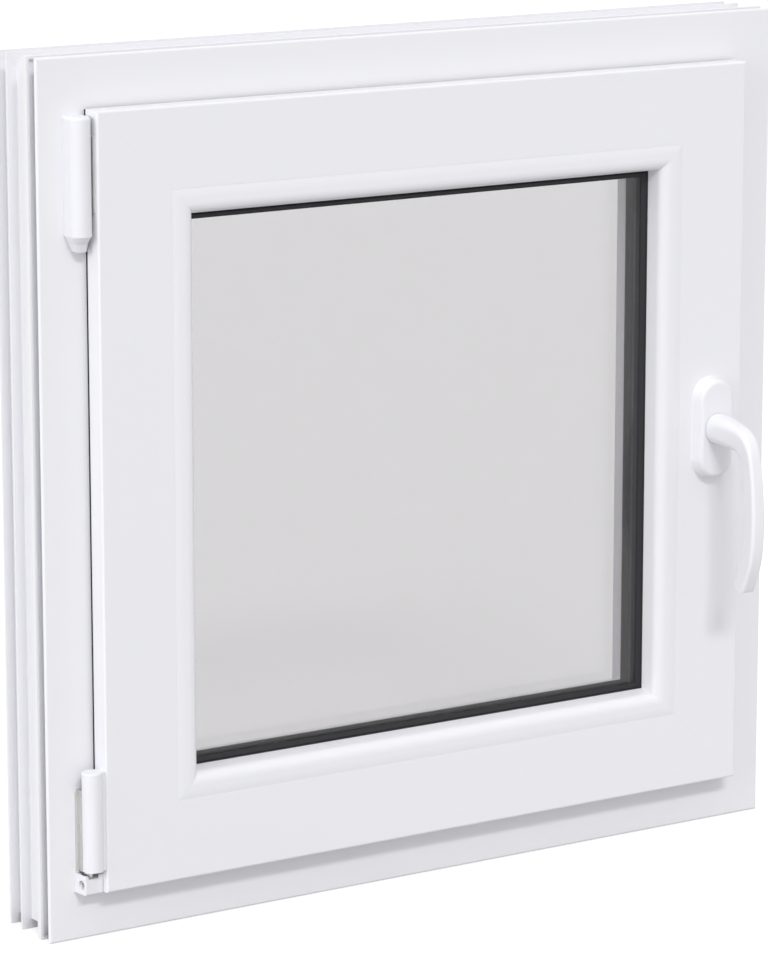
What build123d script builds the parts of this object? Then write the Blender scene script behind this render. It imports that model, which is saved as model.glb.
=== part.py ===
"""Basement window: a square white PVC tilt-and-turn window, closed and latched.

Millimetres. X runs to the right as seen from the room, Y out through the window, Z up.
The origin is under the middle of the sill, on the wide fin that the window stands on.
Sections are drawn once as (inward, depth): inward from the outline of the frame towards the
glass, and depth from the room face of the frame towards the outside.
"""

import os

from build123d import *

# Overall sizes of the frame
window_size = 600
frame_depth = 57
frame_face = 43
frame_waist = 40.5
waist_start = 27
stop_reach = 64
stop_depth = 43
stop_taper = 2.5
outline_groove = 7
fin = 1.8
seat_fin_back = 16.8
seat_fin_lip = 4.8
rear_fin_back = 40.7

# Walls of the extrusions, and the webs between the chambers of the frame
skin = 2.8
web = 1.5
edge_round = 1.6
front_web = 13.5
rear_web = 37.5

# Sash
sash_margin = 35
sash_front = -18
overlap_back = -3
overlap_web = -2
sash_body = 55
sash_back = 40
sash_rear_web = 21.5
lip_end = 90.5
lip_thickness = 3
glazing_floor = 88
leg_front = 27
leg_taper = 2
sightline = 109.8

# Groove in the edge of the sash for the fittings, and the groove that holds the bead
fittings_front = 4
fittings_back = 20
fittings_lip = 2
fittings_neck = 3
fittings_groove = 9
bead_groove_front = -12
bead_groove = 3.5

# Glazing bead
bead_setback = 0.2
bead_crown = 0.4
bead_crown_width = 6
bead_flat = 10
bead_slope_front = -11.2
bead_slope_width = 1.4
bead_wall = 2
bead_chamber = 12
foot_play = 0.1

# Seals
seal_gap = 3
seal_notch = 3.4
seal_foot = 3
seal_shoulder = 1.5
seal_lip = 2
stop_lip = 4
overlap_lip = 3.5
leg_lip = 5.5
bead_seal_width = 8
bead_seal_lip = 4.4
bead_seal_edge = 0.8
bead_seal_ridge = 0.8

# Double glazing
pane_thickness = 4
cavity = 16
pane_margin = 94.5
edge_seal_height = 5
spacer_height = 7

# Handle
handle_x = 237
handle_z = 302
rosette_width = 33
rosette_height = 75
rosette_thickness = 10
rosette_draft = 14
rosette_round = 3
spigot_radius = 8
spigot_clearance = 0.3
spigot_recess = 1
neck_gap = 0.5
neck_size = 21.8
neck_share = 0.4
neck_roundness = 0.46
grip_width = 9.8
grip_thickness = 12.8
grip_roundness = 0.22
tip_spread = 2.2
tip_thinning = 2.2
lever_stations = 18
station_spread = 1.5

# Upper hinge, on the hinge jamb
hinge_left = 19
hinge_width = 15
hinge_projection = 17
upper_hinge_top = 561.5
upper_hinge_bottom = 482.5
cover_round = 2.5
bearing_inset = 0.5
bearing_waist_drop = 5
bearing_waist_width = 11
bearing_waist_projection = 12.5
bearing_length = 11
bearing_end_width = 8
bearing_end_projection = 9
bearing_side_inset = 1.2
arm_front = 14
arm_back = 3.5
arm_bottom = 498
arm_top = 548

# Lower hinge, on the hinge jamb
knuckle_radius = 7.2
knuckle_margin = 27.4
knuckle_projection = 12.8
knuckle_top = 120
knuckle_bottom = 51
knuckle_clearance = 0.3
block_left = 19.4
block_left_front = 21.2
block_front = 12.5
block_bottom = 34
block_top = 47.5
bearing_recess = 2.5
recess_radius = 6.2
leaf_left = 20.6
leaf_thickness = 1.2
leaf_front = 3.4
leaf_top = 106
leaf_slant = 3
core_width = 4
core_front = 8.6
pin_margin = 27.5
pin_projection = 7.5
pin_radius = 2.5
pin_depth = 8
washer_radius = 4.1
washer_thickness = 1.4
washer_lift = 0.6
socket_radius = 3.2
socket_depth = 3
socket_projection = 8.3
socket_height = 40.6
small_round = 1

# Drainage of the sill
drain_spacing = 300
drain_height = 24
drain_slot_length = 28
drain_slot_height = 5
cap_length = 38
cap_height = 12
cap_projection = 3.5
cap_draft = 20
cap_play = 0.4

# The seat fin is at depth 12 to 16.8, and its middle is at Y zero
room_face = seat_fin_lip / 2 - seat_fin_back
half = window_size / 2

# One plane for each side: its X points inward, its Y outward through the wall,
# and its Z along the rail
sides = {
    "bottom": Plane((half, room_face, 0), x_dir=(0, 0, 1), z_dir=(-1, 0, 0)),
    "top": Plane((-half, room_face, window_size), x_dir=(0, 0, -1), z_dir=(1, 0, 0)),
    "hinge_side": Plane((-half, room_face, 0), x_dir=(1, 0, 0), z_dir=(0, 0, 1)),
    "lock_side": Plane((half, room_face, window_size), x_dir=(-1, 0, 0), z_dir=(0, 0, -1)),
}


def outline(*points):
    """Draws a closed section through its corners."""
    with BuildLine() as edge:
        Polyline(*points, close=True)
    make_face(edge.edges())


def chamber(inward_from, inward_to, depth_from, depth_to):
    """Cuts one hollow chamber out of a section."""
    with Locations(((inward_from + inward_to) / 2, (depth_from + depth_to) / 2)):
        Rectangle(inward_to - inward_from, depth_to - depth_from, mode=Mode.SUBTRACT)


def corners_at(section, *points):
    """Finds the corners of a section that lie at the given points."""
    return [
        corner
        for corner in section.vertices()
        if any((corner.center() - Vector(*point)).length < 0.01 for point in points)
    ]


def export(piece, name):
    """Names a finished piece and writes it."""
    piece.part.label = name
    export_step(piece.part, f"parts/{name}.step")


def run_along(side, section):
    """Extrudes a section along one side of the window and mitres both its ends."""
    with BuildSketch(side) as placed:
        add(section.sketch)
    extrude(placed.sketch, amount=window_size)
    reach = sightline + edge_round
    with BuildSketch(Plane(side.origin, x_dir=side.x_dir, z_dir=(0, -1, 0))) as mitred:
        outline(
            (-fin, -fin),
            (reach, reach),
            (reach, window_size - reach),
            (-fin, window_size + fin),
        )
    extrude(mitred.sketch, amount=frame_depth * 2, both=True, mode=Mode.INTERSECT)


def run_around(section):
    """Sweeps a section round all four sides, as a seal is fed round a frame."""
    middle = Plane((0, room_face, 0), x_dir=(0, 0, 1), z_dir=(-1, 0, 0))
    with BuildLine() as path:
        Polyline(
            (0, room_face, 0),
            (-half, room_face, 0),
            (-half, room_face, window_size),
            (half, room_face, window_size),
            (half, room_face, 0),
            (0, room_face, 0),
        )
    with BuildSketch(middle) as placed:
        add(section.sketch)
    sweep(placed.sketch, path=path.wire(), transition=Transition.RIGHT)


def room_plane(x, depth, z):
    """A plane parallel to the wall that faces the room, at a depth from the frame's face."""
    return Plane((x, room_face + depth, z), x_dir=(1, 0, 0), z_dir=(0, -1, 0))


def outside_plane(x, z):
    """A plane on the outside of the frame that faces outdoors."""
    return Plane((x, room_face + frame_depth, z), x_dir=(-1, 0, 0), z_dir=(0, 1, 0))


os.makedirs("parts", exist_ok=True)

# Frame extrusion: four fins on the outside, a body of chambers and the stop for the sash
stop_notch_end = stop_reach - stop_lip
stop_notch = stop_notch_end - seal_notch
with BuildSketch() as frame_section:
    outline(
        (0, 0),
        (frame_face, 0),
        (frame_face, waist_start),
        (frame_waist, waist_start + 2),
        (frame_waist, stop_depth - 2),
        (frame_face, stop_depth),
        (stop_notch, stop_depth),
        (stop_notch, stop_depth + seal_foot),
        (stop_notch_end, stop_depth + seal_foot),
        (stop_notch_end, stop_depth),
        (stop_reach, stop_depth),
        (stop_reach - stop_taper, frame_depth),
        (0, frame_depth),
        (0, frame_depth - fin),
        (outline_groove, frame_depth - fin),
        (outline_groove, rear_fin_back),
        (0, rear_fin_back),
        (0, rear_fin_back - fin),
        (outline_groove, rear_fin_back - fin),
        (outline_groove, seat_fin_back),
        (0, seat_fin_back),
        (0, seat_fin_back - seat_fin_lip),
        (fin, seat_fin_back - seat_fin_lip),
        (fin, seat_fin_back - fin),
        (outline_groove, seat_fin_back - fin),
        (outline_groove, fin),
        (0, fin),
    )
    fillet(corners_at(frame_section, (0, 0), (frame_face, 0)), edge_round)
    fillet(corners_at(frame_section, (stop_reach, stop_depth)), edge_round)
    first_wall = outline_groove + skin
    last_wall = frame_waist - skin
    chamber(first_wall, frame_face - skin, skin, front_web)
    chamber(first_wall, last_wall, front_web + web, rear_web)
    chamber(first_wall, last_wall, rear_web + web, frame_depth - skin)
    chamber(last_wall + web, stop_notch - skin, stop_depth + seal_foot, frame_depth - skin)

rail_names = {
    "bottom": "frame_sill_rail",
    "top": "frame_head_rail",
    "hinge_side": "frame_hinge_jamb",
    "lock_side": "frame_lock_jamb",
}
for side_name, side in sides.items():
    with BuildPart() as frame_rail:
        run_along(side, frame_section)
        if side_name == "bottom":
            with BuildSketch(outside_plane(0, drain_height)):
                with GridLocations(drain_spacing, 0, 2, 1):
                    SlotOverall(drain_slot_length, drain_slot_height)
            extrude(amount=-skin, mode=Mode.SUBTRACT)
    export(frame_rail, rail_names[side_name])

# Seal on the stop, which the sash closes against
stop_seal_front = stop_depth - seal_gap
with BuildSketch() as frame_seal_section:
    outline(
        (stop_notch, stop_depth + seal_foot),
        (stop_notch, stop_depth),
        (stop_notch - seal_shoulder, stop_depth),
        (stop_notch - seal_shoulder / 2, stop_seal_front),
        (stop_notch_end + seal_lip, stop_seal_front),
        (stop_notch_end + seal_lip / 2, stop_depth),
        (stop_notch_end, stop_depth),
        (stop_notch_end, stop_depth + seal_foot),
    )
with BuildPart() as frame_seal:
    run_around(frame_seal_section)
export(frame_seal, "frame_seal")

# Sash extrusion: the overlap on the room side, the fittings groove and the glazing rebate
overlap_notch = sash_margin + overlap_lip
overlap_notch_end = overlap_notch + seal_notch
leg_notch = sightline - leg_lip
leg_notch_end = leg_notch + seal_notch
lip_back = sash_front + lip_thickness
bead_groove_back = bead_groove_front + bead_groove
bead_groove_floor = glazing_floor - bead_groove
neck_floor = sash_body + fittings_neck
fittings_floor = sash_body + fittings_groove
with BuildSketch() as sash_section:
    outline(
        (sash_margin, sash_front),
        (lip_end, sash_front),
        (lip_end, lip_back),
        (glazing_floor, lip_back),
        (glazing_floor, bead_groove_front),
        (bead_groove_floor, bead_groove_front),
        (bead_groove_floor, bead_groove_back),
        (glazing_floor, bead_groove_back),
        (glazing_floor, leg_front),
        (leg_notch, leg_front),
        (leg_notch, leg_front + seal_foot),
        (leg_notch_end, leg_front + seal_foot),
        (leg_notch_end, leg_front),
        (sightline, leg_front),
        (sightline - leg_taper, sash_back),
        (sash_body, sash_back),
        (sash_body, fittings_back),
        (neck_floor, fittings_back),
        (neck_floor, fittings_back - fittings_lip),
        (fittings_floor, fittings_back - fittings_lip),
        (fittings_floor, fittings_front + fittings_lip),
        (neck_floor, fittings_front + fittings_lip),
        (neck_floor, fittings_front),
        (sash_body, fittings_front),
        (sash_body, overlap_back),
        (overlap_notch_end, overlap_back),
        (overlap_notch_end, overlap_back - seal_foot),
        (overlap_notch, overlap_back - seal_foot),
        (overlap_notch, overlap_back),
        (sash_margin, overlap_back),
    )
    fillet(corners_at(sash_section, (sash_margin, sash_front)), edge_round)
    fillet(corners_at(sash_section, (sightline, leg_front)), edge_round)
    front_wall = sash_front + skin
    back_wall = sash_back - skin
    body_wall = sash_body + skin
    rebate_wall = glazing_floor - skin
    chamber(overlap_notch_end + web, body_wall, front_wall, overlap_back - skin)
    chamber(body_wall + web, bead_groove_floor - web, front_wall, overlap_web)
    chamber(fittings_floor + web, rebate_wall, overlap_web + web, sash_rear_web)
    chamber(body_wall, rebate_wall, sash_rear_web + web, back_wall)
    chamber(rebate_wall + web, leg_notch - web, leg_front + skin, back_wall)

stile_names = {
    "bottom": "sash_bottom_rail",
    "top": "sash_top_rail",
    "hinge_side": "sash_hinge_stile",
    "lock_side": "sash_lock_stile",
}
for side_name, side in sides.items():
    with BuildPart() as sash_rail:
        run_along(side, sash_section)
    export(sash_rail, stile_names[side_name])

# Seal in the overlap of the sash, which shows as the black line round it
with BuildSketch() as sash_seal_section:
    outline(
        (overlap_notch, overlap_back - seal_foot),
        (overlap_notch_end, overlap_back - seal_foot),
        (overlap_notch_end, 0),
        (sash_margin + seal_shoulder / 3, 0),
        (sash_margin + seal_shoulder, overlap_back),
        (overlap_notch, overlap_back),
    )
with BuildPart() as sash_seal:
    run_around(sash_seal_section)
export(sash_seal, "sash_seal")

# Glazing bead: rounded towards the room, clipped behind the lip of the sash
bead_edge = sash_front + bead_setback
bead_front = sash_front - bead_crown
bead_back = -seal_gap
foot_front = bead_groove_front + foot_play
foot_back = bead_groove_back - foot_play
foot_floor = bead_groove_floor + foot_play
with BuildSketch() as bead_section:
    with BuildLine():
        Polyline(
            (sightline, bead_back),
            (glazing_floor, bead_back),
            (glazing_floor, foot_back),
            (foot_floor, foot_back),
            (foot_floor, foot_front),
            (glazing_floor, foot_front),
            (glazing_floor, lip_back),
            (lip_end, lip_back),
            (lip_end, bead_edge),
        )
        nose = Line((lip_end + bead_crown_width, bead_front), (lip_end + bead_flat, bead_front))
        TangentArc(nose @ 0, (lip_end, bead_edge), tangent=nose % 0 * -1)
        slope = Line(
            (sightline - bead_slope_width, bead_slope_front),
            (sightline, bead_back),
        )
        TangentArc(nose @ 1, slope @ 0, tangent=nose % 1)
    make_face()
    chamber(
        lip_end + bead_wall,
        lip_end + bead_wall + bead_chamber,
        bead_front + 1.5 * bead_wall,
        bead_back - bead_wall,
    )
for side_name, side in sides.items():
    with BuildPart() as bead:
        run_along(side, bead_section)
    export(bead, f"bead_{side_name}")

# Seals on both faces of the glass; the one on the bead shows as a black line with a ridge in it
pane_back = 2 * pane_thickness + cavity
with BuildSketch() as bead_seal_section:
    outline(
        (sightline - bead_seal_width, bead_back),
        (sightline, bead_back),
        (sightline + bead_seal_ridge, bead_back + bead_seal_ridge),
        (sightline + 2 * bead_seal_ridge, bead_back + bead_seal_ridge / 4),
        (sightline + bead_seal_lip, -bead_seal_edge),
        (sightline + bead_seal_lip, 0),
        (sightline - bead_seal_width, 0),
    )
with BuildPart() as bead_seal:
    run_around(bead_seal_section)
export(bead_seal, "bead_seal")

with BuildSketch() as glazing_seal_section:
    outline(
        (leg_notch, leg_front + seal_foot),
        (leg_notch, leg_front),
        (leg_notch - 2 * seal_shoulder, leg_front),
        (leg_notch - 2 * seal_shoulder, pane_back),
        (sightline + seal_shoulder, pane_back),
        (sightline + seal_shoulder, pane_back + 1),
        (sightline - seal_shoulder, leg_front),
        (leg_notch_end, leg_front),
        (leg_notch_end, leg_front + seal_foot),
    )
with BuildPart() as glazing_seal:
    run_around(glazing_seal_section)
export(glazing_seal, "glazing_seal")

# Double glazing: two panes, the spacer bar between them and the sealant round it
pane_size = window_size - 2 * pane_margin
for pane_name, pane_depth in {"inner_pane": 0, "outer_pane": pane_thickness + cavity}.items():
    with BuildPart() as pane:
        with BuildSketch(room_plane(0, pane_depth, half)):
            Rectangle(pane_size, pane_size)
        extrude(amount=-pane_thickness)
    export(pane, pane_name)

spacer_outer = pane_size - 2 * edge_seal_height
spacer_inner = spacer_outer - 2 * spacer_height
for ring_name, outer, inner in (
    ("edge_seal", pane_size, spacer_outer),
    ("spacer_bar", spacer_outer, spacer_inner),
):
    with BuildPart() as ring:
        with BuildSketch(room_plane(0, pane_thickness, half)):
            Rectangle(outer, outer)
            Rectangle(inner, inner, mode=Mode.SUBTRACT)
        extrude(amount=-cavity)
    export(ring, ring_name)

# Upper hinge: a round-fronted cover on the frame, the bearing under it and the sash arm
hinge_x = -half + hinge_left + hinge_width / 2
cover_right = -half + hinge_left + hinge_width
sash_side = -half + sash_margin


def round_front(width, projection):
    """Draws a plan with a flat back on the frame and a half-round front."""
    radius = width / 2
    Rectangle(width, projection - radius, align=(Align.CENTER, Align.MAX))
    with Locations((0, radius - projection)):
        Circle(radius)


with BuildPart() as upper_hinge_cover:
    with BuildSketch(Plane((hinge_x, room_face, upper_hinge_bottom))):
        round_front(hinge_width, hinge_projection)
    extrude(amount=upper_hinge_top - upper_hinge_bottom)
    top_rim = upper_hinge_cover.faces().sort_by(Axis.Z)[-1].edges()
    fillet(top_rim.sort_by(Axis.Y)[:-1], cover_round)
export(upper_hinge_cover, "upper_hinge_cover")

# The bearing tapers downward and towards the sash in two steps
bearing_top_width = hinge_width - 2 * bearing_inset
bearing_levels = (
    (0, bearing_top_width, hinge_projection - bearing_inset, bearing_inset),
    (bearing_waist_drop, bearing_waist_width, bearing_waist_projection, bearing_side_inset),
    (bearing_length, bearing_end_width, bearing_end_projection, bearing_side_inset),
)
with BuildPart() as upper_hinge_bearing:
    for upper, lower in zip(bearing_levels, bearing_levels[1:]):
        with BuildPart() as bearing_step:
            for drop, width, projection, side_inset in (upper, lower):
                level_x = cover_right - side_inset - width / 2
                with BuildSketch(Plane((level_x, room_face, upper_hinge_bottom - drop))):
                    round_front(width, projection)
            loft()
        add(bearing_step.part)
export(upper_hinge_bearing, "upper_hinge_bearing")

with BuildPart() as upper_hinge_arm:
    with BuildSketch(Plane((cover_right, room_face - arm_back, arm_bottom))):
        Rectangle(sash_side - cover_right, arm_front - arm_back, align=(Align.MIN, Align.MAX))
    extrude(amount=arm_top - arm_bottom)
export(upper_hinge_arm, "upper_hinge_arm")

# Lower hinge: a block on the frame that holds the pin, and a steel leaf beside the cover
pin_axis = Plane((pin_margin - half, room_face - pin_projection, block_top))
with BuildPart() as lower_hinge_block:
    with BuildSketch(Plane((-half, room_face, block_bottom))):
        outline(
            (block_left, 0),
            (sash_margin, 0),
            (sash_margin, -block_front),
            (block_left_front, -block_front),
        )
    extrude(amount=block_top - block_bottom)
    fillet(lower_hinge_block.edges().group_by(Axis.Y)[0], small_round)
    with BuildSketch(pin_axis):
        Circle(recess_radius)
    extrude(amount=-bearing_recess, mode=Mode.SUBTRACT)
    with BuildSketch(pin_axis):
        Circle(pin_radius)
    extrude(amount=-pin_depth, mode=Mode.SUBTRACT)
    socket_bottom = block_left_front + socket_depth - half
    socket = Plane(
        (socket_bottom, room_face - socket_projection, socket_height),
        x_dir=(0, 1, 0),
        z_dir=(-1, 0, 0),
    )
    with BuildSketch(socket):
        Circle(socket_radius)
    extrude(amount=block_front, mode=Mode.SUBTRACT)
export(lower_hinge_block, "lower_hinge_block")

# The pin stands in the block, and the steel core behind the cover stands on its washer
core_bottom = block_top + washer_lift + washer_thickness
with BuildPart() as lower_hinge_pin:
    with BuildSketch(pin_axis.offset(-pin_depth)):
        Circle(pin_radius)
    extrude(amount=pin_depth + knuckle_bottom - block_top)
    with BuildSketch(pin_axis.offset(washer_lift)):
        Circle(washer_radius)
    extrude(amount=washer_thickness)
    core_left = leaf_left + leaf_thickness
    core_corner = (core_left - half, room_face - leaf_thickness, core_bottom)
    with BuildSketch(Plane(core_corner)):
        Rectangle(core_width, core_front - leaf_thickness, align=(Align.MIN, Align.MAX))
        with Locations((knuckle_margin - core_left, leaf_thickness - knuckle_projection)):
            Circle(knuckle_radius + knuckle_clearance, mode=Mode.SUBTRACT)
    extrude(amount=leaf_top - core_bottom)
export(lower_hinge_pin, "lower_hinge_pin")

leaf_x = leaf_left - half
leaf_width = sash_margin - leaf_left - small_round
with BuildPart() as lower_hinge_leaf:
    with BuildSketch(Plane((leaf_x, room_face, block_top))):
        Rectangle(leaf_width, leaf_thickness, align=(Align.MIN, Align.MAX))
        Rectangle(leaf_thickness, leaf_front, align=(Align.MIN, Align.MAX))
    extrude(amount=leaf_top - block_top)
    with BuildSketch(Plane((leaf_x, room_face, leaf_top), x_dir=(0, -1, 0), z_dir=(1, 0, 0))):
        outline((0, 0), (leaf_front, 0), (0, leaf_slant))
    extrude(amount=leaf_thickness, mode=Mode.SUBTRACT)
export(lower_hinge_leaf, "lower_hinge_leaf")

# The cover over the sash's half of the lower hinge
knuckle_centre = Plane((knuckle_margin - half, room_face - knuckle_projection, knuckle_bottom))
with BuildPart() as lower_hinge_knuckle:
    with BuildSketch(knuckle_centre):
        Circle(knuckle_radius)
        Rectangle(sash_margin - knuckle_margin, knuckle_radius, align=(Align.MIN, Align.CENTER))
    extrude(amount=knuckle_top - knuckle_bottom)
    top_face = lower_hinge_knuckle.faces().sort_by(Axis.Z)[-1]
    fillet(top_face.edges().filter_by(GeomType.CIRCLE), small_round)
export(lower_hinge_knuckle, "lower_hinge_knuckle")

# Handle rosette: a stadium with sloping sides and a bore for the spigot of the lever
with BuildPart() as handle_rosette:
    with BuildSketch(room_plane(handle_x, sash_front, handle_z)):
        SlotOverall(rosette_height, rosette_width, rotation=90)
    extrude(amount=rosette_thickness, taper=rosette_draft)
    front_rim = handle_rosette.faces().sort_by(Axis.Y)[0].edges()
    fillet(front_rim, rosette_round)
    with BuildSketch(room_plane(handle_x, sash_front, handle_z)):
        Circle(spigot_radius + spigot_clearance)
    extrude(amount=rosette_thickness, mode=Mode.SUBTRACT)
export(handle_rosette, "handle_rosette")

# Handle lever: one smooth line out from the rosette, over the bend and down the bowed grip,
# as (projection from the sash, drop below the axis)
lever_line = (
    (rosette_thickness + neck_gap, -0.4),
    (20, 0.2),
    (30, 1.7),
    (38.7, 3.5),
    (45.8, 8.8),
    (49.3, 17.5),
    (51.5, 28),
    (53.3, 42),
    (54.5, 58),
    (54.5, 72),
    (53, 87),
    (49.2, 100),
    (44.2, 111.2),
)
lever_plane = Plane(
    (handle_x, room_face + sash_front, handle_z), x_dir=(0, -1, 0), z_dir=(1, 0, 0)
)
with BuildLine(lever_plane) as lever_spine:
    Spline(*lever_line)
spine = lever_spine.edges()[0]
with BuildPart() as handle_lever:
    for station in range(lever_stations):
        along = (station / (lever_stations - 1)) ** station_spread
        grip = min(1, along / neck_share)
        neck = 1 - 3 * grip**2 + 2 * grip**3
        width = grip_width + (neck_size - grip_width) * (1 - grip) ** 2 + tip_spread * along
        thickness = grip_thickness + (neck_size - grip_thickness) * neck - tip_thinning * along**3
        roundness = grip_roundness + (neck_roundness - grip_roundness) * neck
        with BuildSketch(Plane(spine @ along, x_dir=(1, 0, 0), z_dir=spine % along)):
            RectangleRounded(width, thickness, min(width, thickness) * roundness)
    loft()
    with BuildSketch(room_plane(handle_x, sash_front - spigot_recess, handle_z)):
        Circle(spigot_radius)
    extrude(amount=rosette_thickness)
export(handle_lever, "handle_lever")

# Drain caps over the slots on the outside of the sill
for cap_side, direction in (("left", -1), ("right", 1)):
    cap_plane = outside_plane(direction * drain_spacing / 2, drain_height)
    with BuildPart() as drain_cap:
        with BuildSketch(cap_plane):
            SlotOverall(cap_length, cap_height)
        extrude(amount=cap_projection, taper=cap_draft)
        fillet(drain_cap.faces().sort_by(Axis.Y)[-1].edges(), small_round)
        with BuildSketch(cap_plane):
            SlotOverall(drain_slot_length - cap_play, drain_slot_height - cap_play)
        extrude(amount=-skin)
    export(drain_cap, f"drain_cap_{cap_side}")
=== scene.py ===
# %% [markdown]
# # A white basement window in Blender
#
# This lesson dresses a finished construction model: a square tilt-and-turn window of white PVC,
# 600 mm wide and high, closed, with a lever handle. What is left for Blender is what the eye
# judges: how each surface is made, how light falls on it, and the small things that a
# construction model leaves out.

# %% Load the construction model
import math

import bmesh
import bpy
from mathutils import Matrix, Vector


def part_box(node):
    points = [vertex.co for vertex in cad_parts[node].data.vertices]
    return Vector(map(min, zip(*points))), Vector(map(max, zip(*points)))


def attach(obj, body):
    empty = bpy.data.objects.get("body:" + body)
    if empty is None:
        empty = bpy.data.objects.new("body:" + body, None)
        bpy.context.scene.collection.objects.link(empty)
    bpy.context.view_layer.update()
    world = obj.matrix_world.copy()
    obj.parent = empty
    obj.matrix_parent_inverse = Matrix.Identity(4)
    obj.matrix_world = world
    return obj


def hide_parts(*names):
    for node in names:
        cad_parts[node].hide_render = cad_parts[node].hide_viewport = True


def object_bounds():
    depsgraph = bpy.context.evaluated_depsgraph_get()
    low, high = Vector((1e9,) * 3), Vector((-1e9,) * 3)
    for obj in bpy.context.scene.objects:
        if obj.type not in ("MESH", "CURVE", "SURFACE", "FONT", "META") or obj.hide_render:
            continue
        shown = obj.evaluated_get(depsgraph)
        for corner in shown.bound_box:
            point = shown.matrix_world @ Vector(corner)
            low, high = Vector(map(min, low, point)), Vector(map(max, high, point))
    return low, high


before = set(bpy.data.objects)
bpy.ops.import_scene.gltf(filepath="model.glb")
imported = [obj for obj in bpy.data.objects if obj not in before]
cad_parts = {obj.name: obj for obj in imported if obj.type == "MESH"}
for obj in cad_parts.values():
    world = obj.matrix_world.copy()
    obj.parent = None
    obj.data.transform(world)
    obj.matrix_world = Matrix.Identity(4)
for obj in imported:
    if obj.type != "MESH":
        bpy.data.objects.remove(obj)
model_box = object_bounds()

# %% [markdown]
# Everything is measured in metres, in the frame of the model: X runs to the right as seen from
# the room, Y goes out through the wall, and Z is up. One name for a millimetre keeps the sizes
# readable. The window's own middle is taken from the model, so nothing is typed in twice.

# %% Units and the window's own measures
MM = 0.001
sill_low, sill_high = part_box("frame_sill_rail")
head_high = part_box("frame_head_rail")[1]
window_width = sill_high.x - sill_low.x
window_height = head_high.z - sill_low.z
middle = Vector((0.0, 0.0, window_height / 2))
room_side = sill_low.y
print(f"window {window_width / MM:.0f} x {window_height / MM:.0f} mm, room face at Y {room_side:.4f}")

# %% [markdown]
# ## Camera
#
# The photograph was taken from the left and from above, with a long lens. The camera's place was
# found by fitting the known corners of the window to where they appear in the picture. It could
# also be set by eye, but a fitted camera is more exact.

# %% Camera at the photograph's angle
picture_height = 954
focal_pixels = 4297
camera_yaw = math.radians(32.758)
camera_pitch = math.radians(11.99)
camera_place = Vector((-1.6115, -2.4700, 0.9124))

scene = bpy.context.scene
camera_data = bpy.data.cameras.new("camera")
camera_data.lens = focal_pixels / picture_height * camera_data.sensor_width
camera = bpy.data.objects.new("camera", camera_data)
scene.collection.objects.link(camera)
camera.location = camera_place
camera.rotation_euler = (math.pi / 2 - camera_pitch, 0, -camera_yaw)
scene.camera = camera
print(f"lens {camera_data.lens:.0f} mm, {(middle - camera_place).length:.2f} m from the window")

# %% [markdown]
# ## Lamps
#
# The shadow under the sash is a narrow, fairly crisp strip, and the one of the handle is wide and
# soft. A long, low studio lamp gives both, and two round ones side by side stand in for it. Their
# direction comes from the same strip: the overlap of the sash stands 18 mm proud and throws a
# shadow 16 mm down and 4 mm to the right. Everything that faces left is brighter than the front,
# so a wide lamp stands on the left, and a weak one hangs overhead. Undersides are dark, so the
# fill comes from the sky above, and less comes back from the floor.

# %% Four distant lamps
scene.view_settings.view_transform = "Standard"


def add_sun(name, towards, strength, width_degrees):
    """Adds a distant lamp that shines from the given direction."""
    lamp = bpy.data.lights.new(name, "SUN")
    lamp.energy = strength
    lamp.angle = math.radians(width_degrees)
    sun = bpy.data.objects.new(name, lamp)
    sun.rotation_euler = Vector(towards).to_track_quat("Z", "Y").to_euler()
    scene.collection.objects.link(sun)


key_strength = 0.56
left_strength = 1.28
top_strength = 0.12
narrow = 7.5
wide = 40
add_sun("key_lamp_left", towards=(-0.36, -1.0, 0.9), strength=key_strength, width_degrees=narrow)
add_sun("key_lamp_right", towards=(-0.14, -1.0, 0.9), strength=key_strength, width_degrees=narrow)
add_sun("left_lamp", towards=(-1.0, -0.1, 0.2), strength=left_strength, width_degrees=wide)
add_sun("top_lamp", towards=(-0.2, -0.3, 1.0), strength=top_strength, width_degrees=wide)
print("two key lamps of strength", key_strength, "with a wide one on the left and one overhead")

# %% [markdown]
# ## World
#
# The rest of the light is a plain white sky. The background of the photograph is pure white, but
# a sky that bright would wash out the shadows, so the rays that show it to the eye get its full
# white, and those that carry its light get less. World and materials are built from nodes, and
# one small helper adds them.

# %% White sky
world_light = 0.75


def node(tree, kind, settings=None, links=None):
    """Adds one node, sets its properties and input values, and links its inputs."""
    made = tree.nodes.new(kind)
    for name, value in (settings or {}).items():
        if isinstance(name, int) or name in made.inputs:
            made.inputs[name].default_value = value
        else:
            setattr(made, name, value)
    for name, source in (links or {}).items():
        tree.links.new(source, made.inputs[name])
    return made


def seen_directly(tree):
    """A value that is 1 for rays that show a surface to the eye, mirrored and through glass too."""
    path = node(tree, "ShaderNodeLightPath").outputs
    mirrored = node(tree, "ShaderNodeMath", {"operation": "MAXIMUM"},
                    {0: path["Is Camera Ray"], 1: path["Is Glossy Ray"]})
    return node(tree, "ShaderNodeMath", {"operation": "MAXIMUM"},
                {0: mirrored.outputs[0], 1: path["Is Transmission Ray"]}).outputs[0]


world = bpy.data.worlds.new("studio")
scene.world = world
world.use_nodes = True
sky = world.node_tree
sky.nodes.clear()
level = node(sky, "ShaderNodeMapRange", {"To Min": world_light, "To Max": 1.0},
             {"Value": seen_directly(sky)})
white = node(sky, "ShaderNodeBackground", {"Color": (1, 1, 1, 1)}, {"Strength": level.outputs[0]})
node(sky, "ShaderNodeOutputWorld", links={"Surface": white.outputs[0]})
print("a world of strength", world_light)

# %% [markdown]
# ## Colours and materials
#
# A colour is written as it looks on a screen, as an sRGB hex value, and one function turns it
# into the linear light that a renderer counts with. Every material starts from one Principled
# shader, and what makes the finish is added to it.

# %% Colour and material helpers


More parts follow.
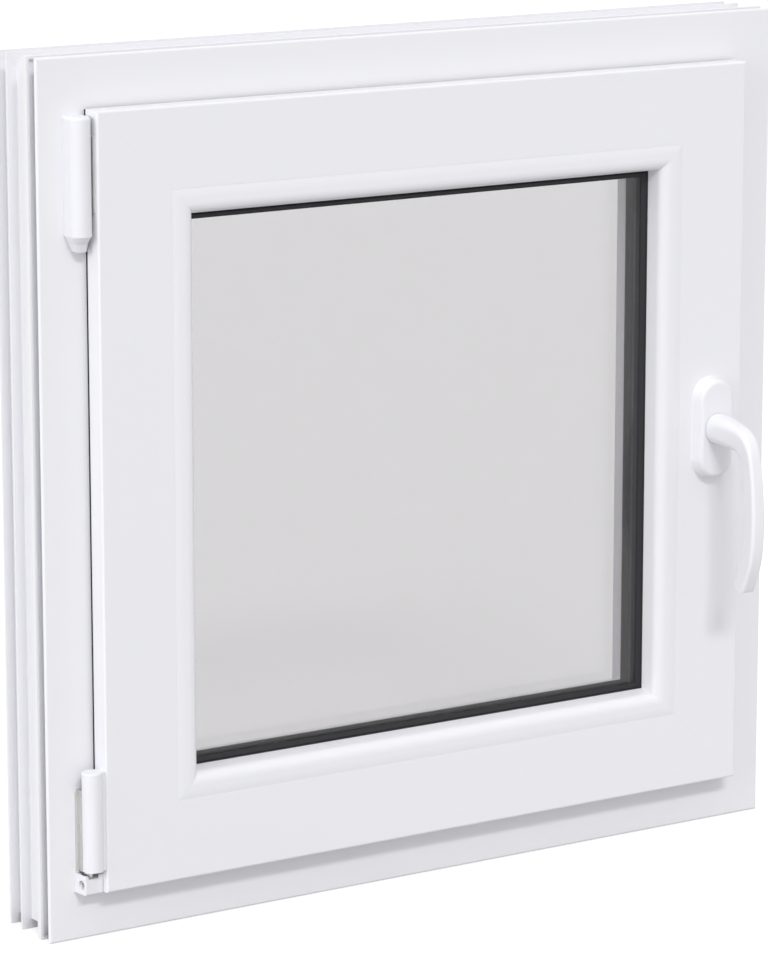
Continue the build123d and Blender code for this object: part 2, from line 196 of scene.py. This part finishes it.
def linear(hex_colour):
    """Turns an sRGB hex colour into linear RGBA."""
    values = [int(hex_colour[i:i + 2], 16) / 255 for i in (1, 3, 5)]
    return [v / 12.92 if v <= 0.04045 else ((v + 0.055) / 1.055) ** 2.4 for v in values] + [1.0]


def new_material(name, colour, roughness, **shader_settings):
    """Makes a material with one Principled shader, and returns it with its tree and shader."""
    made = bpy.data.materials.new(name)
    made.use_nodes = True
    tree = made.node_tree
    tree.nodes.clear()
    settings = {"Base Color": linear(colour), "Roughness": roughness, **shader_settings}
    shader = node(tree, "ShaderNodeBsdfPrincipled", settings)
    node(tree, "ShaderNodeOutputMaterial", links={"Surface": shader.outputs[0]})
    return made, tree, shader


def dress(finish, *names):
    """Gives parts of the construction model a finish."""
    for name in names:
        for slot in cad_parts[name].material_slots:
            slot.material = finish


# %% [markdown]
# ## Floor
#
# The floor is only there to catch the shadow. To the eye it has to be as white as the
# background, so for the rays that show it the paint is darker and gets light of its own, and what
# is left of the shadow is faint. For all other rays it is plain paint, which throws light back up
# under the window as a real floor does.

# %% Floor
floor_reach = 60.0
floor_gap = 0.2 * MM
floor_glow = 0.7
floor_tone, seen_tone = 0.5, 0.35
floor_height = model_box[0].z - floor_gap
corners = [(-1, -1), (1, -1), (1, 1), (-1, 1)]
floor_mesh = bpy.data.meshes.new("floor")
floor_mesh.from_pydata([(x * floor_reach, y * floor_reach, floor_height) for x, y in corners], [],
                       [(0, 1, 2, 3)])
floor = bpy.data.objects.new("floor", floor_mesh)
scene.collection.objects.link(floor)
floor_paint, tree, shader = new_material("matt floor paint", "#e6e6e6", 0.9,
                                         **{"Emission Color": (1, 1, 1, 1)})
seen = seen_directly(tree)
glow = node(tree, "ShaderNodeMath", {"operation": "MULTIPLY", 1: floor_glow}, {0: seen})
tree.links.new(glow.outputs[0], shader.inputs["Emission Strength"])
tone = node(tree, "ShaderNodeMapRange", {"To Min": floor_tone, "To Max": seen_tone}, {"Value": seen})
tree.links.new(tone.outputs[0], shader.inputs["Base Color"])
floor_mesh.materials.append(floor_paint)
print("floor at Z", round(floor_height, 5))

# %% [markdown]
# ## White PVC profile
#
# Frame, sash and beads are extruded: hot PVC is pushed through a steel die and cooled. That
# leaves a satin skin with very faint lines along each rail, and a slight waviness that only
# shows in reflections. The rails are cut at 45 degrees and joined with heat, and the joint is
# scraped flat, which leaves a hairline in each corner.
#
# A texture that ran along X would be wrong on the uprights. So the pattern gets coordinates of
# its own: how far a point lies outward from the middle of the window, whichever side it is on,
# and how deep. Lines drawn in those coordinates follow every rail and turn the corner at 45
# degrees by themselves, as the real ones do. How far a point is from the cut between two rails
# comes out of the same sum.

# %% Coordinates that follow the rails


def along_rails(tree):
    """Returns, by name, a point's place across and along its rail, its depth and how far the mitre is."""
    place = node(tree, "ShaderNodeTexCoord").outputs["Object"]
    centred = node(tree, "ShaderNodeVectorMath", {"operation": "SUBTRACT", 1: middle}, {0: place})
    folded = node(tree, "ShaderNodeVectorMath", {"operation": "ABSOLUTE"}, {0: centred.outputs[0]})
    side = node(tree, "ShaderNodeSeparateXYZ", links={0: folded.outputs[0]}).outputs
    depth = node(tree, "ShaderNodeSeparateXYZ", links={0: place}).outputs["Y"]
    outer = node(tree, "ShaderNodeMath", {"operation": "MAXIMUM"}, {0: side["X"], 1: side["Z"]}).outputs[0]
    inner = node(tree, "ShaderNodeMath", {"operation": "MINIMUM"}, {0: side["X"], 1: side["Z"]}).outputs[0]
    across = node(tree, "ShaderNodeCombineXYZ", links={"X": outer, "Y": depth}).outputs[0]
    to_mitre = node(tree, "ShaderNodeMath", {"operation": "SUBTRACT"}, {0: outer, 1: inner}).outputs[0]
    return {"across": across, "along": inner, "depth": depth, "to_mitre": to_mitre}


# %% [markdown]
# The die lines are noise drawn across the rail, about one line every 2 mm. The real ones are
# finer than a hair, so they are drawn coarser than life to show at all. The waviness is a
# second, much larger noise. Neither is higher than about a hundredth of a millimetre, and a bump
# node turns them into shading.
#
# The beads aren't joined with heat, only cut and pushed in, so their joint is narrower and
# deeper.

# %% PVC material
die_line_spacing = 2 * MM
die_line_height = 0.004 * MM
waviness_size = 45 * MM
waviness_height = 0.012 * MM
weld_width = 0.5 * MM
weld_depth = 0.02 * MM
joint_tone = 0.97
gloss_spread = 0.04
pvc_white = "#e9e9ed"


def extruded_pvc(name, colour, roughness, joint_width, joint_depth):
    """Satin extruded PVC with die lines along the rail and a fine joint at each mitre."""
    finish, tree, shader = new_material(name, colour, roughness, **{"IOR": 1.53})
    rails = along_rails(tree)
    lines = node(tree, "ShaderNodeTexNoise", {"Scale": 1 / die_line_spacing, "Detail": 3.0},
                 {"Vector": rails["across"]}).outputs[0]
    place = node(tree, "ShaderNodeTexCoord").outputs["Object"]
    waves = node(tree, "ShaderNodeTexNoise", {"Scale": 1 / waviness_size, "Detail": 1.0}, {"Vector": place})
    joint = node(tree, "ShaderNodeMapRange",
                 {"interpolation_type": "SMOOTHSTEP", "From Max": joint_width * math.sqrt(0.5),
                  "To Min": 0.0, "To Max": 1.0}, {"Value": rails["to_mitre"]}).outputs[0]
    wavy = node(tree, "ShaderNodeBump", {"Distance": waviness_height}, {"Height": waves.outputs[0]})
    lined = node(tree, "ShaderNodeBump", {"Distance": die_line_height},
                 {"Height": lines, "Normal": wavy.outputs[0]})
    jointed = node(tree, "ShaderNodeBump", {"Distance": joint_depth},
                   {"Height": joint, "Normal": lined.outputs[0]})
    tree.links.new(jointed.outputs[0], shader.inputs["Normal"])
    gloss = node(tree, "ShaderNodeMapRange",
                 {"To Min": roughness - gloss_spread, "To Max": roughness + gloss_spread}, {"Value": lines})
    tree.links.new(gloss.outputs[0], shader.inputs["Roughness"])
    shade = node(tree, "ShaderNodeMapRange", {"To Min": joint_tone, "To Max": 1.0}, {"Value": joint})
    tone = node(tree, "ShaderNodeMix", {"data_type": "RGBA", "blend_type": "MULTIPLY", "Factor": 1.0,
                                        6: linear(colour)}, {7: shade.outputs[0]})
    tree.links.new(tone.outputs[2], shader.inputs["Base Color"])
    return finish


pvc = extruded_pvc("extruded white PVC", pvc_white, 0.34, weld_width, weld_depth)
bead_pvc = extruded_pvc("extruded white PVC, cut joint", pvc_white, 0.32, weld_width / 2, weld_depth * 2)
frame_parts = [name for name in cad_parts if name.startswith("frame_") and name != "frame_seal"]
sash_parts = [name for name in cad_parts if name.startswith("sash_") and name != "sash_seal"]
bead_parts = [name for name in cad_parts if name.startswith("bead_") and name != "bead_seal"]
dress(pvc, *frame_parts, *sash_parts)
dress(bead_pvc, *bead_parts)
print("PVC on", len(frame_parts), "frame rails,", len(sash_parts), "sash rails,", len(bead_parts), "beads")

# %% [markdown]
# ## Rubber seals
#
# The seals are EPDM rubber, extruded too, and black through and through with soot. They are
# matt, and rub to a faint sheen. Fine ribs run along them.
#
# From here on most finishes vary a little from place to place, in height, in gloss or in both.
# One noise of the right size can do that, so a helper joins it to the shader.

# %% A surface that varies


def vary(tree, shader, size, detail, height=None, gloss=None, place=None):
    """Varies a surface with noise of a size, as a bump of a height and within a range of gloss."""
    if place is None:
        place = node(tree, "ShaderNodeTexCoord").outputs["Object"]
    noise = node(tree, "ShaderNodeTexNoise", {"Scale": 1 / size, "Detail": detail},
                 {"Vector": place}).outputs[0]
    if height is not None:
        bump = node(tree, "ShaderNodeBump", {"Distance": height}, {"Height": noise})
        tree.links.new(bump.outputs[0], shader.inputs["Normal"])
    if gloss is not None:
        low, high = gloss
        spread = node(tree, "ShaderNodeMapRange", {"To Min": low, "To Max": high}, {"Value": noise})
        tree.links.new(spread.outputs[0], shader.inputs["Roughness"])
    return noise


# %% EPDM rubber
rib_spacing = 0.8 * MM
rib_height = 0.05 * MM
rubber, tree, shader = new_material("black EPDM rubber", "#242428", 0.62, **{"Specular IOR Level": 0.35})
vary(tree, shader, rib_spacing, 2.0, height=rib_height, gloss=(0.5, 0.75), place=along_rails(tree)["across"])
dress(rubber, "frame_seal", "sash_seal", "bead_seal", "glazing_seal")
print("rubber ribs every", rib_spacing / MM, "mm")

# %% [markdown]
# ## Glass
#
# Two panes of float glass, 4 mm each. The outer face of the inner pane carries a clear metal
# film that keeps heat in, and it takes about a fifth of the light, a neutral grey. Float glass
# is flat to a few hundredths of a millimetre over a hand's width, enough to make a reflection
# swim a little.
#
# A renderer that traces light from the eye finds it hard to bring lamp light through glass. So
# for shadow rays the glass turns into a plain tint, and the seals and the spacer behind it are
# lit as they should be.

# %% Float glass
glass_tint = "#e3e2e3"
swim_size = 90 * MM
swim_height = 0.01 * MM
glass, tree, shader = new_material("float glass with a clear film", glass_tint, 0.0,
                                   **{"IOR": 1.52, "Transmission Weight": 1.0})
vary(tree, shader, swim_size, 0.0, height=swim_height)
for_lamps = node(tree, "ShaderNodeBsdfTransparent", {"Color": linear(glass_tint)})
path = node(tree, "ShaderNodeLightPath").outputs
either = node(tree, "ShaderNodeMixShader",
              links={0: path["Is Shadow Ray"], 1: shader.outputs[0], 2: for_lamps.outputs[0]})
output = next(n for n in tree.nodes if n.type == "OUTPUT_MATERIAL")
tree.links.new(either.outputs[0], output.inputs["Surface"])
dress(glass, "inner_pane", "outer_pane")
print("glass on two panes")

# %% [markdown]
# ## Spacer and sealant
#
# Between the panes runs the spacer, a hollow bar of dark plastic filled with drying beads. Its
# face towards the cavity has fine ribs and two rows of pin holes, through which the beads dry
# the air. Behind it lies black sealant. The holes are far too small to be worth cutting, so the
# material paints the shade inside them: it darkens every point that is close to the middle of
# one. Along the bar a place that folds back and forth gives that distance, and across it the
# distance to the nearer row does. The ribs carry painted shade too, darker in their grooves and
# lighter on their crests.

# %% Spacer bar
spacer_low, spacer_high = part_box("spacer_bar")
spacer_middle = (spacer_low.y + spacer_high.y) / 2
hole_spacing = 3 * MM
hole_radius = 0.45 * MM
hole_shade_share = 0.7
row_distance = 2.5 * MM
bar_rib_spacing = 1.2 * MM
bar_rib_height = 0.15 * MM
noise_low, noise_high = 0.35, 0.65
spacer, tree, shader = new_material("dark plastic spacer", "#333337", 0.5)
rails = along_rails(tree)
from_middle = node(tree, "ShaderNodeMath", {"operation": "SUBTRACT", 1: spacer_middle}, {0: rails["depth"]})
mirrored = node(tree, "ShaderNodeMath", {"operation": "ABSOLUTE"}, {0: from_middle.outputs[0]})
to_row = node(tree, "ShaderNodeMath", {"operation": "SUBTRACT", 1: row_distance}, {0: mirrored.outputs[0]})
step = node(tree, "ShaderNodeMath", {"operation": "PINGPONG", 1: hole_spacing / 2}, {0: rails["along"]})
offset = node(tree, "ShaderNodeCombineXYZ", links={"X": step.outputs[0], "Y": to_row.outputs[0]})
to_hole = node(tree, "ShaderNodeVectorMath", {"operation": "LENGTH"}, {0: offset.outputs[0]})
# painted shade of the pin holes: 0 in the middle of a hole, 1 on the plain face around it
hole_shade_mask = node(tree, "ShaderNodeMapRange", {"From Min": hole_radius * hole_shade_share, "From Max": hole_radius},
             {"Value": to_hole.outputs["Value"]})
ribs = vary(tree, shader, bar_rib_spacing, 1.0, height=bar_rib_height, place=rails["across"])
# painted shade on the ribs: the colour follows their relief, darker in the grooves and lighter on the crests
rib_shade = node(tree, "ShaderNodeMapRange", {"From Min": noise_low, "From Max": noise_high}, {"Value": ribs})
face = node(tree, "ShaderNodeMix", {"data_type": "RGBA", 6: linear("#29292c"), 7: linear("#434348")},
            {"Factor": rib_shade.outputs[0]})
# the near-black is painted shade inside each pin hole
tone = node(tree, "ShaderNodeMix", {"data_type": "RGBA", 6: linear("#0c0c0d")},
            {"Factor": hole_shade_mask.outputs[0], 7: face.outputs[2]})
tree.links.new(tone.outputs[2], shader.inputs["Base Color"])
dress(spacer, "spacer_bar")
print("spacer holes every", hole_spacing / MM, "mm")

# %% Sealant
smear_size = 6 * MM
smear_height = 0.2 * MM
sealant, tree, shader = new_material("black polysulphide sealant", "#161617", 0.55)
vary(tree, shader, smear_size, 3.0, height=smear_height)
dress(sealant, "edge_seal")
print("sealant smeared over", smear_size / MM, "mm")

# %% [markdown]
# ## Hinge covers
#
# The covers over the hinges and the drain caps are moulded ABS. The steel mould is eroded with
# sparks to a fine, even grain, which makes them duller than the profile and hides fingerprints.
# The real grain is too fine to show in the picture, so it is drawn coarser.

# %% Moulded ABS
grain_size = 0.5 * MM
grain_height = 0.008 * MM
abs_plastic, tree, shader = new_material("moulded white ABS", "#e5e5ea", 0.58, **{"Specular IOR Level": 0.2})
vary(tree, shader, grain_size, 2.0, height=grain_height, gloss=(0.53, 0.63))
dress(abs_plastic, "upper_hinge_cover", "lower_hinge_block", "lower_hinge_knuckle",
      "drain_cap_left", "drain_cap_right")
print("ABS grain", grain_size / MM, "mm")

# %% [markdown]
# ## Zinc-plated steel
#
# What carries the sash is pressed steel, plated with zinc and passivated. That gives a soft,
# nearly neutral grey with cloudy patches a few millimetres across, some a little duller than
# others.

# %% Zinc plating
cloud_size = 5 * MM
zinc, tree, shader = new_material("zinc-plated steel", "#d5d5d3", 0.38, **{"Metallic": 1.0})
clouds = vary(tree, shader, cloud_size, 4.0, gloss=(0.3, 0.5))
tone = node(tree, "ShaderNodeMix", {"data_type": "RGBA", 6: linear("#cbcbc8"), 7: linear("#dfdfdd")},
            {"Factor": clouds})
tree.links.new(tone.outputs[2], shader.inputs["Base Color"])
dress(zinc, "upper_hinge_arm", "lower_hinge_pin", "lower_hinge_leaf")
print("zinc on the arm, the pin and the leaf")

# %% [markdown]
# ## Bearing under the upper hinge
#
# Under the cover the moulded bearing comes out. Its first step draws in quickly, its second is
# steeper, and every edge is softly rounded. The construction model has both steps as plain
# tapers. Here the piece is drawn as a row of rings, each its outline at one height: a flat back
# on the frame, straight sides and a half-round front. A skin of faces between them closes it, and
# rings that lie close together make the soft edges.

# %% Rings and skin
arc_steps = 24


def round_front(left, right, projection, height):
    """The outline of a hinge piece at one height, from its left back corner to its right one."""
    radius = (right - left) / 2
    across = (left + right) / 2
    front = room_side - projection + radius
    turns = [math.pi * step / arc_steps for step in range(arc_steps + 1)]
    arc = [Vector((across - radius * math.cos(t), front - radius * math.sin(t), height)) for t in turns]
    return [Vector((left, room_side, height)), *arc, Vector((right, room_side, height))]


def skin(name, rings, finish, smooth_degrees):
    """Joins rings of equal length into a closed mesh, and returns its object."""
    shell = bmesh.new()
    rows = [[shell.verts.new(point) for point in ring] for ring in rings]
    for lower, upper in zip(rows, rows[1:]):
        for k in range(len(lower)):
            after = (k + 1) % len(lower)
            shell.faces.new((lower[k], lower[after], upper[after], upper[k]))
    shell.faces.new(rows[0])
    shell.faces.new(rows[-1])
    bmesh.ops.recalc_face_normals(shell, faces=shell.faces)
    mesh = bpy.data.meshes.new(name)
    shell.to_mesh(mesh)
    shell.free()
    mesh.materials.append(finish)
    mesh.shade_smooth()
    mesh.set_sharp_from_angle(angle=math.radians(smooth_degrees))
    piece = bpy.data.objects.new(name, mesh)
    scene.collection.objects.link(piece)
    return piece


# %% Bearing of the upper hinge
cover_low, cover_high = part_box("upper_hinge_cover")
bearing_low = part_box("upper_hinge_bearing")[0]
cover_reach = room_side - cover_low.y
# millimetres below the cover, in from its left and right side, and back from its front
bearing_levels = (
    (0.0, 0.5, 0.5, 0.5), (0.4, 0.6, 0.5, 0.6), (4.4, 2.5, 1.1, 4.4), (4.9, 2.9, 1.2, 5.0),
    (5.4, 3.1, 1.2, 5.3), (10.3, 5.3, 1.3, 7.5), (10.8, 5.6, 1.6, 7.8), (11.0, 6.2, 2.2, 8.4),
)
bearing_rings = []
for drop, left, right, back in bearing_levels:
    ring = round_front(cover_low.x + left * MM, cover_high.x - right * MM, cover_reach - back * MM,
                       cover_low.z - drop * MM)
    bearing_rings.append(ring)
bearing = skin("bearing_rounded", bearing_rings, abs_plastic, smooth_degrees=40)
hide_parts("upper_hinge_bearing")
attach(bearing, "window")
print("bearing ends", round((bearing_rings[-1][0].z - bearing_low.z) / MM, 2), "mm off the model's")

# %% [markdown]
# ## Adjusting screw
#
# In the side of the lower hinge block sits a grub screw that lifts or lowers the sash, turned
# with a hexagon key. It has no head: its end is flat with a small chamfer, and the socket is
# pressed into it. It could be cut out of a cylinder, but rings do it too: they start at its inner
# end, come out over the chamfer, and go back in along the six flats of the socket.

# %% Grub screw in the lower hinge block
block_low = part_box("lower_hinge_block")[0]
screw_projection = 8.3 * MM
screw_height = 40.6 * MM
screw_inset = 2.0 * MM
screw_axis = Vector((0.0, room_side - screw_projection, screw_height))
screw_face = block_low.x + screw_inset
screw_radius = 3.0 * MM
screw_length = 1.7 * MM
chamfer = 0.3 * MM
key_width = 3.0 * MM
key_chamfer = 0.15 * MM
key_depth = 1.3 * MM
ring_points = 24


def screw_ring(reach, depth, flats=False):
    """A ring round the screw's axis at a depth from its face: a circle, or a hexagon with flats."""
    points = []
    for k in range(ring_points):
        turn = math.tau * k / ring_points
        off_flat = (turn % (math.tau / 6)) - math.pi / 6
        away = reach / math.cos(off_flat) if flats else reach
        from_axis = Vector((screw_face + depth, away * math.cos(turn), away * math.sin(turn)))
        points.append(screw_axis + from_axis)
    return points


screw_rings = [
    screw_ring(screw_radius, screw_length),
    screw_ring(screw_radius, chamfer),
    screw_ring(screw_radius - chamfer, 0.0),
    screw_ring(key_width / 2 + key_chamfer, 0.0, flats=True),
    screw_ring(key_width / 2, key_chamfer, flats=True),
    screw_ring(key_width / 2, key_depth, flats=True),
]
grub_screw = skin("grub_screw", screw_rings, zinc, smooth_degrees=30)
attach(grub_screw, "window")
print("grub screw with a", key_width / MM, "mm socket")

# %% [markdown]
# ## Handle
#
# The handle is die-cast aluminium with a white powder coat. The powder melts in the oven and
# flows into a hard, even film that keeps a faint orange-peel texture about 1.5 mm across. It is
# about as glossy as the profile.

# %% Powder coat
peel_size = 1.5 * MM
peel_height = 0.002 * MM
powder, tree, shader = new_material("white powder coat", "#e9e9ee", 0.36, **{"Specular IOR Level": 0.38})
vary(tree, shader, peel_size, 1.0, height=peel_height, gloss=(0.34, 0.38))
dress(powder, "handle_rosette", "handle_lever")
print("orange peel", peel_size / MM, "mm across on the handle")
